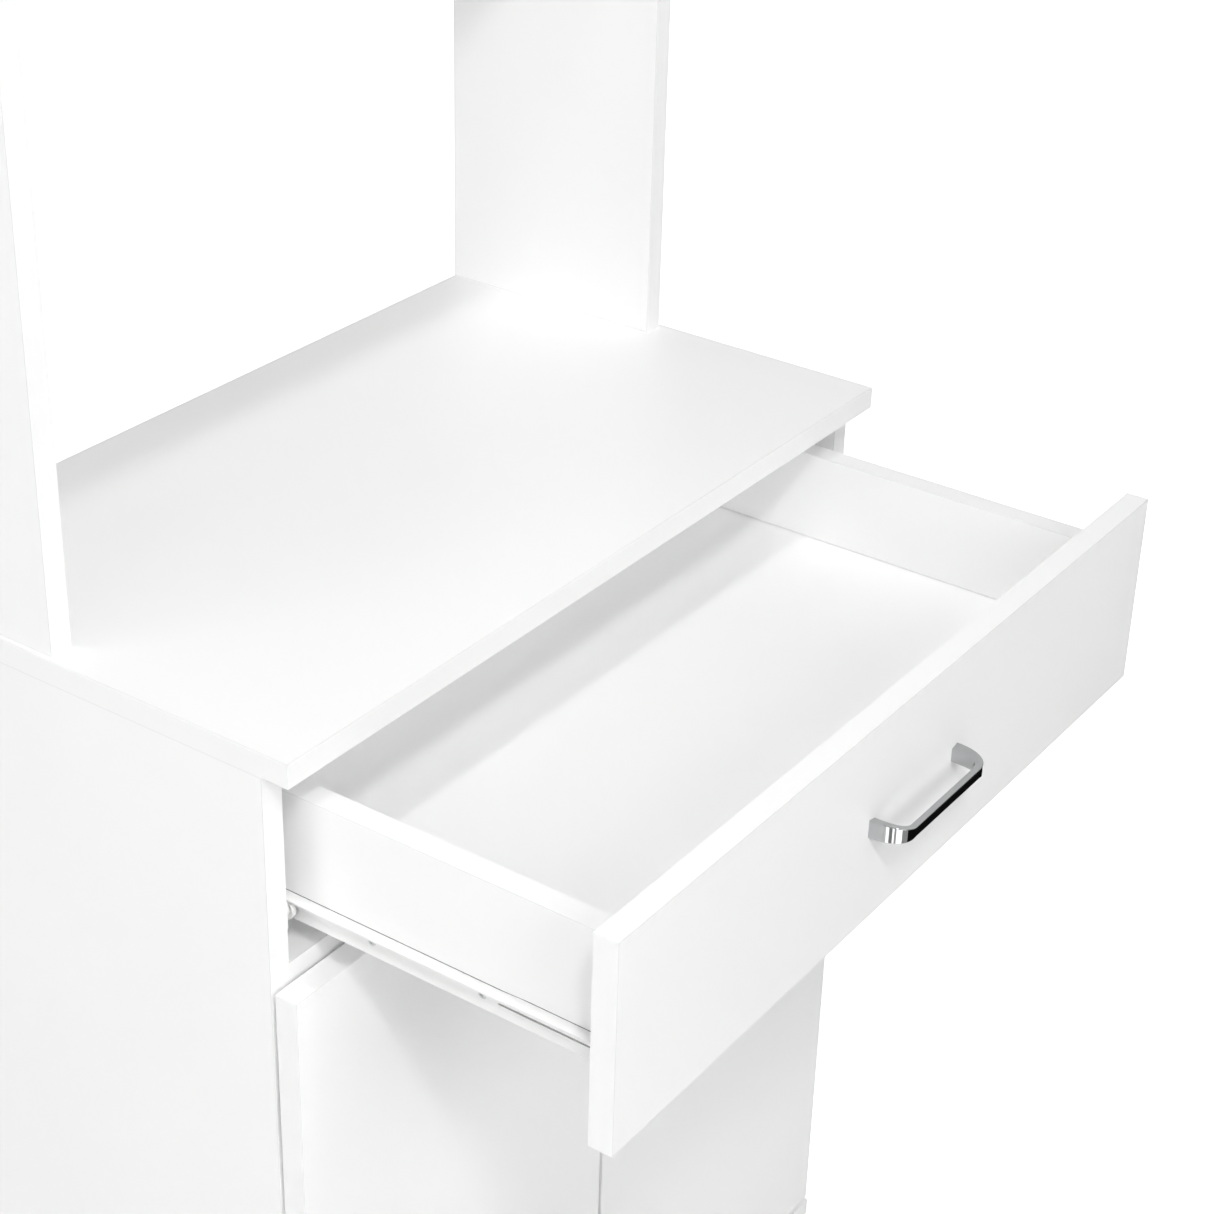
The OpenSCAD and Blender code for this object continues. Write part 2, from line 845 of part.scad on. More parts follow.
// Arm with a bent neck that reaches round the door's edge to the pivot
module hinge_arm() {
    neck_t = 2.4;
    elbow_x = 16.7;
    difference() {
        union() {
            translate([pivot_x, pivot_y, 0]) rod_z(eye_r, -arm_half, arm_half);
            translate([pivot_x, pivot_y - neck_t / 2, -arm_half])
                cube([elbow_x + neck_t - pivot_x, neck_t, 2 * arm_half]);
            translate([elbow_x, pivot_y - neck_t / 2, -arm_half])
                cube([neck_t, 20, 2 * arm_half]);
            translate([arm_x, 6, -arm_half]) cube([elbow_x + neck_t - arm_x, 46, 2 * arm_half]);
            translate([arm_x, plate_y - 12, -7]) cube([elbow_x + neck_t - arm_x, 24, 14]);
        }
        translate([pivot_x, pivot_y, 0])
            rod_z(hinge_pin_r + axle_play, -arm_half - nudge, arm_half + nudge);
        translate([arm_x, plate_y, 0]) rod_x(2, -nudge, 3);
    }
}

module hinge_plate() {
    difference() {
        union() {
            translate([board_t, plate_y - 12, -9]) cube([arm_x - board_t, 24, 18]);
            translate([board_t, plate_y - 5, -screw_plate_z - 5])
                cube([arm_x - board_t, 10, 2 * screw_plate_z + 10]);
        }
        for (z = [-screw_plate_z, screw_plate_z])
            translate([board_t, plate_y, z]) rod_x(1.75, -nudge, 3);
        translate([board_t, plate_y, 0]) rod_x(2, -nudge, 3);
    }
}

module hinge_plates() {
    color("silver") both_sides() at_hinges() hinge_plate();
}

module hinge_arms() {
    color("silver") both_sides() at_hinges() hinge_arm();
}

module hinge_screws() {
    color("silver") both_sides() at_hinges() {
        for (z = [-screw_plate_z, screw_plate_z])
            translate([arm_x, plate_y, z]) rotate([0, 90, 0]) screw(1.75, 13.5, 3.4, 1.2);
        translate([arm_x + 2.1, plate_y, 0]) rotate([0, 90, 0]) screw(2, 4, 3.4, 1.2);
    }
}

module hinge_cups() {
    at_hinges() hinge_cup();
}

module hinge_pins() {
    at_hinges() translate([pivot_x, pivot_y, 0]) rod_z(hinge_pin_r, -7.5, 7.5);
}

// Screws of the two cups and the handle, and the plate that meets the magnet
module door_screws() {
    at_hinges() for (z = [-cup_screw_z, cup_screw_z])
        translate([cup_x + cup_screw_x, 1, z]) rotate([-90, 0, 0]) screw(1.75, 12, 3.4, 1);
    at_door_handle() handle_screw_pair();
}

module left_door() {
    color("white") door();
}

module left_hinge_cups() {
    color("silver") hinge_cups();
}

module left_hinge_pins() {
    color("silver") hinge_pins();
}

module left_door_handle() {
    color("silver") at_door_handle() handle_bow();
}

module left_door_screws() {
    color("silver") door_screws();
}

module right_door() {
    color("white") mirror([1, 0, 0]) door();
}

module right_hinge_cups() {
    color("silver") mirror([1, 0, 0]) hinge_cups();
}

module right_hinge_pins() {
    color("silver") mirror([1, 0, 0]) hinge_pins();
}

module right_door_handle() {
    color("silver") mirror([1, 0, 0]) at_door_handle() handle_bow();
}

module right_door_screws() {
    color("silver") mirror([1, 0, 0]) door_screws();
}

// Double magnet under the deck that holds both doors shut
module magnet_catch() {
    color("whitesmoke") difference() {
        union() {
            block([-28, 28], [front_back + 2, front_back + 18], [deck_bottom - 12, deck_bottom]);
            block([-22, 22], [front_back + 0.4, front_back + 2],
                [deck_bottom - 10, deck_bottom - 3]);
        }
        for (x = [-18, 18])
            at(x, side_setback + 12, deck_bottom) rod_z(1.5, -12 - nudge, nudge);
    }
}

module magnet_catch_screws() {
    color("silver") for (x = [-18, 18]) at(x, side_setback + 12, deck_bottom - 12)
        mirror([0, 0, 1]) screw(1.5, 22, 3, 1.2);
}

countertop();
left_side_panel();
right_side_panel();
base_board();
fixed_deck();
back_panel();
back_panel_nails();
adjustable_shelf();
shelf_pins();
left_upright();
right_upright();
hutch_shelf();
top_board();
mirror_board();
mirror_glass();
mirror_clips();
mirror_clip_screws();
feet();
foot_screws();
cabinet_cam_locks();
cabinet_cam_bolts();
hutch_cam_locks();
hutch_cam_bolts();
wood_dowels();
upright_screws();
left_cabinet_rail();
right_cabinet_rail();
cabinet_rail_screws();
front_roller_pins();
front_rollers();
hinge_plates();
hinge_arms();
hinge_screws();
magnet_catch();
magnet_catch_screws();
drawer_front();
drawer_left_side();
drawer_right_side();
drawer_back();
drawer_bottom();
drawer_dowels();
drawer_corner_brackets();
drawer_bracket_screws();
left_drawer_rail();
right_drawer_rail();
drawer_rail_screws();
rear_roller_pins();
rear_rollers();
drawer_handle();
drawer_handle_screws();
left_door();
left_hinge_cups();
left_hinge_pins();
left_door_handle();
left_door_screws();
right_door();
right_hinge_cups();
right_hinge_pins();
right_door_handle();
right_door_screws();
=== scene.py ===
import json
import math

import bmesh
import bpy
from mathutils import Matrix, Vector


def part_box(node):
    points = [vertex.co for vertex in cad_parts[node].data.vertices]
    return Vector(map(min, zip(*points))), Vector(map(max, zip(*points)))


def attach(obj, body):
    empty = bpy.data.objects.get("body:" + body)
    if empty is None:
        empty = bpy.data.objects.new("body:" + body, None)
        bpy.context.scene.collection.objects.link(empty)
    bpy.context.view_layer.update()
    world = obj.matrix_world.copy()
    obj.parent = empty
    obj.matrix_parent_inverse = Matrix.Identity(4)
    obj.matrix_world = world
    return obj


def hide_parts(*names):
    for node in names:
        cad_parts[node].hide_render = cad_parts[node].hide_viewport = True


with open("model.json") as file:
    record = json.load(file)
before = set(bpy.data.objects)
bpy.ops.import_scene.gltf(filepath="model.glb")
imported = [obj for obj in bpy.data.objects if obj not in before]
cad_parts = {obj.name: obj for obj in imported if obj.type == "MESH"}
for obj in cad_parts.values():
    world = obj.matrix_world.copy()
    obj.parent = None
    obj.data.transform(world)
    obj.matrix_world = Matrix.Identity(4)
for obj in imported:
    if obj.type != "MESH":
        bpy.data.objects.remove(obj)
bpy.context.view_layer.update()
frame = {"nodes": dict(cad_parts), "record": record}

NODES = frame["nodes"]
MM = 0.001
X, Y, Z = Vector((1, 0, 0)), Vector((0, 1, 0)), Vector((0, 0, 1))


# ---- node trees -------------------------------------------------------------------------

class Tree:
    """A material's node tree with its principled shader, and short calls to add nodes."""

    def __init__(self, name, colour, roughness, metallic=0.0, **constants):
        self.material = bpy.data.materials.new(name)
        self.material.use_nodes = True
        self.tree = self.material.node_tree
        self.shader = self.tree.nodes["Principled BSDF"]
        self.material.diffuse_color = (*colour, 1)
        self.set("Base Color", (*colour, 1))
        self.set("Roughness", roughness)
        self.set("Metallic", metallic)
        for socket, value in constants.items():
            self.set(socket.replace("_", " "), value)
        self.coordinates = self.add("ShaderNodeTexCoord").outputs["Object"]

    def set(self, socket, value):
        self.shader.inputs[socket].default_value = value

    def plug(self, socket, output):
        self.tree.links.new(output, self.shader.inputs[socket])

    def add(self, kind, inputs=None, **settings):
        """A node with its settings, and its inputs given as values or as outputs of other nodes."""
        node = self.tree.nodes.new(kind)
        for key, value in settings.items():
            setattr(node, key, value)
        for key, value in (inputs or {}).items():
            if isinstance(value, bpy.types.NodeSocket):
                self.tree.links.new(value, node.inputs[key])
            else:
                node.inputs[key].default_value = value
        return node

    def math(self, operation, a, b=0.0):
        return self.add("ShaderNodeMath", {0: a, 1: b}, operation=operation).outputs[0]

    def noise(self, scale, detail=2.0, coordinates=None, roughness=0.5):
        """Noise from 0 to 1, with its scale in features per metre."""
        return self.add("ShaderNodeTexNoise", {"Vector": coordinates or self.coordinates,
            "Scale": scale, "Detail": detail, "Roughness": roughness}).outputs["Fac"]

    def between(self, fac, low, high, start=0.3, end=0.7):
        """fac mapped from start..end to low..high."""
        return self.add("ShaderNodeMapRange", {"Value": fac, "From Min": start, "From Max": end,
            "To Min": low, "To Max": high}).outputs["Result"]

    def mix(self, fac, a, b):
        """Colour a where fac is 0 and colour b where it is 1."""
        node = self.add("ShaderNodeMix", {"Factor": fac}, data_type="RGBA")
        for name, value in (("A", a), ("B", b)):
            socket = next(s for s in node.inputs if s.name == name and s.type == "RGBA")
            if isinstance(value, bpy.types.NodeSocket):
                self.tree.links.new(value, socket)
            else:
                socket.default_value = (*value, 1)
        return next(s for s in node.outputs if s.type == "RGBA")

    def bump(self, height, distance):
        """Relief from height, with distance in metres for a height of 1."""
        node = self.add("ShaderNodeBump", {"Height": height, "Distance": distance, "Strength": 1.0})
        self.plug("Normal", node.outputs["Normal"])


# ---- materials --------------------------------------------------------------------------

WHITE = (0.90, 0.90, 0.90)
WHITE_LOW, WHITE_HIGH = (0.894, 0.895, 0.896), (0.906, 0.906, 0.905)
TAPE = (0.895, 0.895, 0.895)
TAPE_T = 0.5 * MM
SEAM = (0.5, 0.5, 0.5)
SEAM_W = 0.3 * MM
# near-black painted shade, put on a drawer side behind its rail in place of the shadow in the gap
# above the rail
PAINTED_SHADE = (0.06, 0.06, 0.06)
RAIL_RISE = 0.7 * MM            # how far the drawer rail's front stretch is raised
RAIL_FLAT_L, RAIL_RAISED_L = 58 * MM, 73 * MM    # level part of that stretch, and all of it
RAIL_NEAR = 0.3 * MM            # how close to its outer face a drawer side gets painted shade
RAIL_LINE = 0.15 * MM           # height of the painted shadow line that shows above the rail
BARE_DARK, BARE_MID, BARE_PALE = (0.29, 0.18, 0.10), (0.41, 0.27, 0.155), (0.46, 0.31, 0.18)
BARE_T = 2.5 * MM               # how much of the back panel's thickness is bare
SILVER, GROUND_GLASS = (0.93, 0.95, 0.94), (0.50, 0.66, 0.60)
GROUND_W = 1.3 * MM
BEECH_DARK, BEECH_PALE = (0.52, 0.33, 0.18), (0.70, 0.49, 0.30)


def edge_distance(tree, lo, hi, axes):
    """How far a point is from the nearest side of a box, along the axes given."""
    xyz = tree.add("ShaderNodeSeparateXYZ", {0: tree.coordinates}).outputs
    nearest = None
    for axis in axes:
        from_low = tree.math("SUBTRACT", xyz[axis], lo[axis])
        from_high = tree.math("SUBTRACT", hi[axis], xyz[axis])
        for distance in (from_low, from_high):
            nearest = distance if nearest is None else tree.math("MINIMUM", nearest, distance)
    return nearest


def painted_rail_shade(tree, lo, hi, rail):
    """Mask of painted shade: 1 on the outer face of a drawer side from just above the rail's top
    edge down, else 0.
    """
    rail_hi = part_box(rail)[1]
    xyz = tree.add("ShaderNodeSeparateXYZ", {0: tree.coordinates}).outputs
    outer = lo.x if (lo + hi).x < 0 else hi.x
    inwards = tree.math("ABSOLUTE", tree.math("SUBTRACT", xyz["X"], outer))
    near = tree.math("LESS_THAN", inwards, RAIL_NEAR)
    rise = tree.between(xyz["Y"], RAIL_RISE, 0.0, lo.y + RAIL_FLAT_L, lo.y + RAIL_RAISED_L)
    top = tree.math("ADD", rise, rail_hi.z - RAIL_RISE + RAIL_LINE)
    return tree.math("MULTIPLY", near, tree.math("LESS_THAN", xyz["Z"], top))


def melamine(node, rail=None):
    """White melamine-faced board with edge tape on its thin faces, and a fine seam beside it.
    A drawer side gets near-black painted shade where its rail covers it, which leaves a thin
    painted shadow line above the rail."""
    lo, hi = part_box(node)
    size = hi - lo
    thin = min(range(3), key=lambda axis: size[axis])
    tree = Tree("melamine_" + node, WHITE, 0.42, IOR=1.5)
    inside = edge_distance(tree, lo, hi, [axis for axis in range(3) if axis != thin])
    off_seam = tree.math("ABSOLUTE", tree.math("SUBTRACT", inside, TAPE_T))
    seam = tree.between(off_seam, 1.0, 0.0, 0.0, SEAM_W)
    tape = tree.math("LESS_THAN", inside, TAPE_T)
    cloud = tree.noise(5.0, 3.0)
    face = tree.mix(tree.between(cloud, 0.0, 1.0), WHITE_LOW, WHITE_HIGH)
    clad = tree.mix(tape, face, TAPE)
    colour = tree.mix(tree.math("MULTIPLY", seam, 0.4), clad, SEAM)
    if rail:
        # painted shade: the drawer side is near-black behind its rail, so a thin painted shadow
        # line shows in the gap above the rail
        colour = tree.mix(painted_rail_shade(tree, lo, hi, rail), colour, PAINTED_SHADE)
    tree.plug("Base Color", colour)
    grain = tree.noise(1100.0, 2.0)
    smudge = tree.noise(9.0, 4.0)
    tree.plug("Roughness", tree.between(smudge, 0.38, 0.46))
    relief = tree.math("SUBTRACT", tree.math("MULTIPLY", grain, 0.12), seam)
    tree.bump(relief, 0.015 * MM)
    return tree.material


def hardboard(node, raw_back):
    """Thin hardboard: white lacquer in front, and on the back panel a bare brown rear face."""
    lo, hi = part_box(node)
    tree = Tree("hardboard_" + node, WHITE, 0.36, IOR=1.5)
    cloud = tree.between(tree.noise(7.0, 3.0), 0.0, 1.0)
    lacquer = tree.mix(cloud, WHITE_LOW, WHITE_HIGH)
    if raw_back:
        xyz = tree.add("ShaderNodeSeparateXYZ", {0: tree.coordinates}).outputs
        bare = tree.math("GREATER_THAN", xyz["Y"], hi.y - BARE_T)
        fibre = tree.between(tree.noise(420.0, 6.0, roughness=0.7), 0.0, 1.0, 0.35, 0.65)
        patch = tree.between(tree.noise(6.0, 3.0), 0.0, 1.0)
        light = tree.mix(patch, BARE_MID, BARE_PALE)
        brown = tree.mix(fibre, BARE_DARK, light)
        tree.plug("Base Color", tree.mix(bare, lacquer, brown))
        tree.plug("Roughness", tree.between(bare, 0.36, 0.78, 0.0, 1.0))
        tree.bump(tree.math("MULTIPLY", tree.noise(600.0, 4.0), bare), 0.12 * MM)
    else:
        tree.plug("Base Color", lacquer)
        tree.plug("Roughness", tree.between(tree.noise(12.0, 3.0), 0.32, 0.40))
        tree.bump(tree.noise(900.0, 2.0), 0.004 * MM)
    return tree.material


def silvered_glass(node):
    """Mirror with a ground rim that shows the glass's green."""
    lo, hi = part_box(node)
    tree = Tree("silvered_glass", SILVER, 0.01, 1.0)
    inside = edge_distance(tree, lo, hi, (0, 2))
    rim = tree.math("LESS_THAN", inside, GROUND_W)
    tree.plug("Base Color", tree.mix(rim, SILVER, GROUND_GLASS))
    tree.plug("Metallic", tree.between(rim, 1.0, 0.15, 0.0, 1.0))
    haze = tree.between(tree.noise(14.0, 4.0), 0.006, 0.016)
    tree.plug("Roughness", tree.math("ADD", haze, tree.math("MULTIPLY", rim, 0.22)))
    return tree.material


def plated(name, colour, rough_low, rough_high):
    """Bright plated metal, with faint cloudy variation in its polish."""
    tree = Tree(name, colour, rough_low, 1.0)
    dull = [c * 0.93 for c in colour]
    tree.plug("Base Color", tree.mix(tree.between(tree.noise(160.0, 4.0), 0.0, 1.0), dull, colour))
    tree.plug("Roughness", tree.between(tree.noise(220.0, 5.0), rough_low, rough_high))
    return tree.material


def coated(name, colour, rough_low, rough_high, scale, relief, **constants):
    """Paint or moulded plastic with a fine even relief."""
    tree = Tree(name, colour, rough_low, **constants)
    deep = [c * 0.975 for c in colour]
    tree.plug("Base Color", tree.mix(tree.between(tree.noise(25.0, 3.0), 0.0, 1.0), deep, colour))
    tree.plug("Roughness", tree.between(tree.noise(30.0, 3.0), rough_low, rough_high))
    tree.bump(tree.noise(scale, 2.0), relief)
    return tree.material


def beech():
    """Bare beech: long fibres and the short flecks of its rays."""
    tree = Tree("beech", (0.66, 0.45, 0.27), 0.6)
    along = tree.add("ShaderNodeMapping", {"Vector": tree.coordinates,
        "Scale": (1.0, 0.12, 0.12)}).outputs[0]
    fibre = tree.between(tree.noise(900.0, 4.0, along), 0.0, 1.0)
    tree.plug("Base Color", tree.mix(fibre, BEECH_DARK, BEECH_PALE))
    tree.bump(fibre, 0.03 * MM)
    return tree.material


CHROME = plated("chrome", (0.47, 0.475, 0.48), 0.03, 0.07)
ZINC = plated("zinc_steel", (0.66, 0.67, 0.68), 0.30, 0.42)
NICKEL = plated("nickel_steel", (0.74, 0.72, 0.68), 0.18, 0.32)
EPOXY = coated("white_epoxy", (0.87, 0.87, 0.865), 0.30, 0.38, 500.0, 0.002 * MM, IOR=1.5)
NYLON = coated("white_nylon", (0.84, 0.84, 0.832), 0.34, 0.42, 800.0, 0.003 * MM, IOR=1.53)
PLASTIC = coated("white_plastic", (0.82, 0.82, 0.82), 0.42, 0.52, 1400.0, 0.04 * MM, IOR=1.46)
BEECH = beech()


# ---- mesh helpers -----------------------------------------------------------------------

def piece(name, vertices, faces, material, body, replaced, smooth=30.0):
    """A mesh object that rides on a CAD body and takes the place of the CAD nodes in replaced."""
    mesh = bpy.data.meshes.new(name)
    mesh.from_pydata([tuple(v) for v in vertices], [], faces)
    bm = bmesh.new()
    bm.from_mesh(mesh)
    bmesh.ops.remove_doubles(bm, verts=bm.verts, dist=1e-6)
    bmesh.ops.recalc_face_normals(bm, faces=bm.faces)
    bm.to_mesh(mesh)
    bm.free()
    mesh.materials.append(material)
    mesh.shade_smooth()
    mesh.set_sharp_from_angle(angle=math.radians(smooth))
    obj = bpy.data.objects.new(name, mesh)
    bpy.context.scene.collection.objects.link(obj)
    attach(obj, body)
    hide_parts(*replaced)
    normals = obj.modifiers.new("normals", "WEIGHTED_NORMAL")
    normals.keep_sharp = True
    return obj


class Shape:
    """Vertices and faces that build up, each part placed by a matrix."""

    def __init__(self):
        self.vertices, self.faces = [], []

    def add(self, vertices, faces, place):
        first = len(self.vertices)
        self.vertices += [place @ Vector(v) for v in vertices]
        self.faces += [[first + k for k in face] for face in faces]


def skin(rings, closed_ends=True):
    """Vertices and faces of a skin over rings of points that all have the same number of points."""
    count = len(rings[0])
    faces = []
    for low in range(len(rings) - 1):
        for k in range(count):
            after = (k + 1) % count
            faces.append([low * count + k, low * count + after,
                (low + 1) * count + after, (low + 1) * count + k])
    if closed_ends:
        faces.append(list(range(count))[::-1])
        faces.append([(len(rings) - 1) * count + k for k in range(count)])
    return [p for ring in rings for p in ring], faces


def turned_rings(profile, count):
    """Rings of points round Z, one for each (radius, height)."""
    angles = [2 * math.pi * k / count for k in range(count)]
    return [[Vector((radius * math.cos(a), radius * math.sin(a), height)) for a in angles]
        for radius, height in profile]


def facing(direction, place):
    """Matrix that turns +Z to direction and moves the origin to place."""
    turn = Vector(direction).to_track_quat("Z", "Y").to_matrix().to_4x4()
    return Matrix.Translation(place) @ turn


def solids(node):
    """The corner points of each separate solid in a CAD node."""
    bm = bmesh.new()
    bm.from_mesh(NODES[node].data)
    bmesh.ops.remove_doubles(bm, verts=bm.verts, dist=1e-5)
    seen, found = set(), []
    for start in bm.verts:
        if start in seen:
            continue
        island, stack = [], [start]
        seen.add(start)
        while stack:
            vertex = stack.pop()
            island.append(vertex.co.copy())
            for edge in vertex.link_edges:
                other = edge.other_vert(vertex)
                if other not in seen:
                    seen.add(other)
                    stack.append(other)
        found.append(island)
    bm.free()
    return found


def turned_part(points):
    """Axis towards the head, middle of the tip, length, shank radius, head radius and height."""
    lo = Vector(min(p[a] for p in points) for a in range(3))
    hi = Vector(max(p[a] for p in points) for a in range(3))
    size = hi - lo
    axis = max(range(3), key=lambda a: size[a])
    middle = (lo + hi) / 2
    around = [a for a in range(3) if a != axis]
    radius = [math.hypot(p[around[0]] - middle[around[0]], p[around[1]] - middle[around[1]])
        for p in points]
    head_r = max(radius)
    head = [p[axis] for p, r in zip(points, radius) if r > 0.97 * head_r]
    upwards = max(head) > middle[axis]
    direction = Vector((0, 0, 0))
    direction[axis] = 1 if upwards else -1
    tip = middle.copy()
    tip[axis] = lo[axis] if upwards else hi[axis]
    shank_r = max((r for p, r in zip(points, radius) if r < 0.9 * head_r), default=head_r)
    return direction, tip, size[axis], shank_r, head_r, max(head) - min(head)


# ---- screws -----------------------------------------------------------------------------

THREAD_PITCH = 1.3 * MM
HEAD_RINGS, HEAD_POINTS, SHANK_POINTS = 14, 48, 20
FOOT_SHARE = 0.94               # radius where the head sits, as a share of the head's radius
RIM_SHARE, RECESS_SHARE = 0.28, 0.72             # heights, as shares of the head's height


def cross_recess(x, y, head_r):
    """Depth of a cross recess at a point of the head, from 0 outside to 1 in its arms."""
    arm, half = 0.5 * head_r, 0.12 * head_r
    u, v = abs(x + y) / math.sqrt(2), abs(x - y) / math.sqrt(2)
    along, across = max(u, v), min(u, v)
    if along > arm or across > half:
        return 0.0
    return min(1.0, 3.2 * (1 - along / arm) + 0.25)


def screw_head(head_r, head_h):
    """Pan head on z = 0 with a domed top and a cross recess."""
    angles = [2 * math.pi * k / HEAD_POINTS for k in range(HEAD_POINTS)]
    rows = turned_rings([(head_r * FOOT_SHARE, 0)], HEAD_POINTS)
    for k in range(HEAD_RINGS + 1):
        share = max(1 - k / HEAD_RINGS, 0.02)
        dome = math.sqrt(max(0.0, 1 - share ** 2.6))
        top = head_h * (RIM_SHARE + (1 - RIM_SHARE) * dome)
        row = []
        for a in angles:
            x, y = head_r * share * math.cos(a), head_r * share * math.sin(a)
            row.append(Vector((x, y, top - RECESS_SHARE * head_h * cross_recess(x, y, head_r))))
        rows.append(row)
    return skin(rows)


def screw_shank(shank_r, length):
    """Threaded shank from z = -length to z = 0 with a pointed tip."""
    core = 0.72 * shank_r
    profile = [(0.05 * shank_r, -length)]
    turns = max(2, int((length - 2 * shank_r) / THREAD_PITCH))
    tip_l = 1.6 * shank_r
    start = -length + tip_l
    profile.append((core, start))
    step = (length - tip_l) / turns
    for k in range(turns):
        low = start + k * step
        profile += [(core, low + 0.25 * step), (shank_r, low + 0.5 * step),
            (shank_r, low + 0.58 * step), (core, low + 0.85 * step)]
    profile.append((core, 0))
    return skin(turned_rings(profile, SHANK_POINTS))


def screws(node, material, body):
    """Cross-recess screws in the places of a CAD node's plain ones."""
    shape = Shape()
    for points in solids(node):
        direction, tip, length, shank_r, head_r, head_h = turned_part(points)
        seat = tip + direction * (length - head_h)
        place = facing(direction, seat)
        shape.add(*screw_head(head_r, head_h), place)
        shape.add(*screw_shank(shank_r, length - head_h), place)
    return piece(node + "_cross", shape.vertices, shape.faces, material, body, [node])


# ---- handles ----------------------------------------------------------------------------

BEND_L, INNER_BEND_L = 13.5 * MM, 17.5 * MM      # length of a handle's end that is curved
BAR_T, BAR_HALF = 4.2 * MM, 3.1 * MM
LEG_FOOT_T = 6.4 * MM
CORNER_R, CORNER_STEPS = 0.35 * MM, 4            # rounded corners of the section
LEG_STEPS, BAR_STEPS = 26, 8


def arc_points(rx, ry, power, steps):
    """Quarter of a superellipse, from (rx, 0) to (0, ry)."""
    angles = [0.5 * math.pi * k / steps for k in range(steps + 1)]
    return [(rx * max(0.0, math.cos(a)) ** (2 / power), ry * math.sin(a) ** (2 / power))
        for a in angles]


def rounded_section(inner, outer, half_in, half_out):
    """Rounded four-sided ring between an inner and an outer point, both (x, depth)."""
    corners = [(inner, -half_in), (outer, -half_out), (outer, half_out), (inner, half_in)]
    inner, outer = Vector(inner), Vector(outer)
    along = (outer - inner).normalized()
    ring = []
    signs = [(1, 1), (-1, 1), (-1, -1), (1, -1)]
    starts = [180, 270, 0, 90]
    for ((point, height), (s_along, s_up), start) in zip(corners, signs, starts):
        centre = Vector(point) + along * CORNER_R * s_along
        for k in range(CORNER_STEPS + 1):
            a = math.radians(start + 90 * k / CORNER_STEPS)
            p = centre + along * CORNER_R * math.cos(a)
            ring.append((p.x, p.y, height + s_up * CORNER_R + CORNER_R * math.sin(a)))
    return ring


def handle(name, node, body, along, out):
    """Cast bow handle: two curved legs that taper into a slim bar."""
    lo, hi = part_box(node)
    size = hi - lo
    up = along.cross(out)
    half, reach, foot_half = size.dot(along) / 2, abs(size.dot(out)), abs(size.dot(up)) / 2
    bend, inner_bend = half - BEND_L, half - INNER_BEND_L
    outer = arc_points(half - bend, reach, 2.3, LEG_STEPS)
    inner = arc_points(half - LEG_FOOT_T - inner_bend, reach - BAR_T, 3.2, LEG_STEPS)

    def height(x):
        return BAR_HALF + (foot_half - BAR_HALF) * max(0.0, (x - bend) / (half - bend))

    leg = []
    for (ox, oy), (ix, iy) in zip(outer, inner):
        leg.append(((ix + inner_bend, iy), (ox + bend, oy)))
    bar = []
    for k in range(BAR_STEPS - 1, -BAR_STEPS, -1):
        share = k / BAR_STEPS
        bar.append(((inner_bend * share, reach - BAR_T), (bend * share, reach)))
    other_leg = [((-ix, iy), (-ox, oy)) for (ix, iy), (ox, oy) in reversed(leg)]
    rings = []
    for inside, outside in leg + bar + other_leg:
        ring = rounded_section(inside, outside, height(abs(inside[0])), height(abs(outside[0])))
        rings.append([Vector(p) for p in ring])
    base = (lo + hi) / 2 - out * reach / 2
    shape = Shape()
    shape.add(*skin(rings),
        Matrix.Translation(base) @ Matrix((along, out, up)).transposed().to_4x4())
    return piece(name, shape.vertices, shape.faces, CHROME, body, [node], 35.0)


# ---- rollers ----------------------------------------------------------------------------

ROLLER_POINTS = 56
BORE_R, BOSS_R = 2.05 * MM, 3.6 * MM
LIP_T = 1.1 * MM                # thickness of the tread's ring
WEB_DEPTH = 1.1 * MM            # how deep the web between boss and ring is sunk
RIBS, RIB_HALF = 6, 0.3 * MM


def rollers(name, node, body):
    """Nylon rollers: rounded tread, webs with ribs sunk in both faces, and a boss on one side."""
    shape = Shape()
    for points in solids(node):
        lo = Vector(min(p[a] for p in points) for a in range(3))
        hi = Vector(max(p[a] for p in points) for a in range(3))
        centre, r, w = (lo + hi) / 2, (hi - lo).z / 2, (hi - lo).x
        tread = [p.x for p in points if math.hypot(p.y - centre.y, p.z - centre.z) > 0.8 * r]
        tread_w = max(tread) - min(tread)
        outward = X if hi.x - max(tread) > tread_w / 4 else -X
        start = centre - outward * w / 2
        bore, boss, lip, web = BORE_R, BOSS_R, r - LIP_T, WEB_DEPTH
        profile = [(bore, 0), (boss - 0.3 * MM, 0), (boss, 0.15 * MM), (boss, web), (lip, web),
            (lip, 0.1 * MM), (lip + 0.15 * MM, 0), (r - 0.45 * MM, 0), (r - 0.12 * MM, 0.12 * MM),
            (r, 0.5 * MM), (r, tread_w - 0.5 * MM), (r - 0.12 * MM, tread_w - 0.12 * MM),
            (r - 0.45 * MM, tread_w), (lip + 0.15 * MM, tread_w), (lip, tread_w - 0.1 * MM),
            (lip, tread_w - web), (boss, tread_w - web), (boss, w - 0.2 * MM),
            (boss - 0.2 * MM, w), (bore, w)]
        rings = turned_rings(profile, ROLLER_POINTS)
        place = facing(outward, start)
        shape.add(*skin(rings + [rings[0]], closed_ends=False), place)
        for k in range(RIBS):
            turn = place @ Matrix.Rotation(2 * math.pi * k / RIBS, 4, "Z")
            for low, high in ((0.25 * MM, web), (tread_w - web, tread_w - 0.25 * MM)):
                rib = [(boss, RIB_HALF), (lip, RIB_HALF), (lip, -RIB_HALF), (boss, -RIB_HALF)]
                shape.add(*skin([[Vector((x, y, h)) for x, y in rib] for h in (low, high)]), turn)
    return piece(name, shape.vertices, shape.faces, NYLON, body, [node])


# ---- finish the CAD nodes ---------------------------------------------------------------

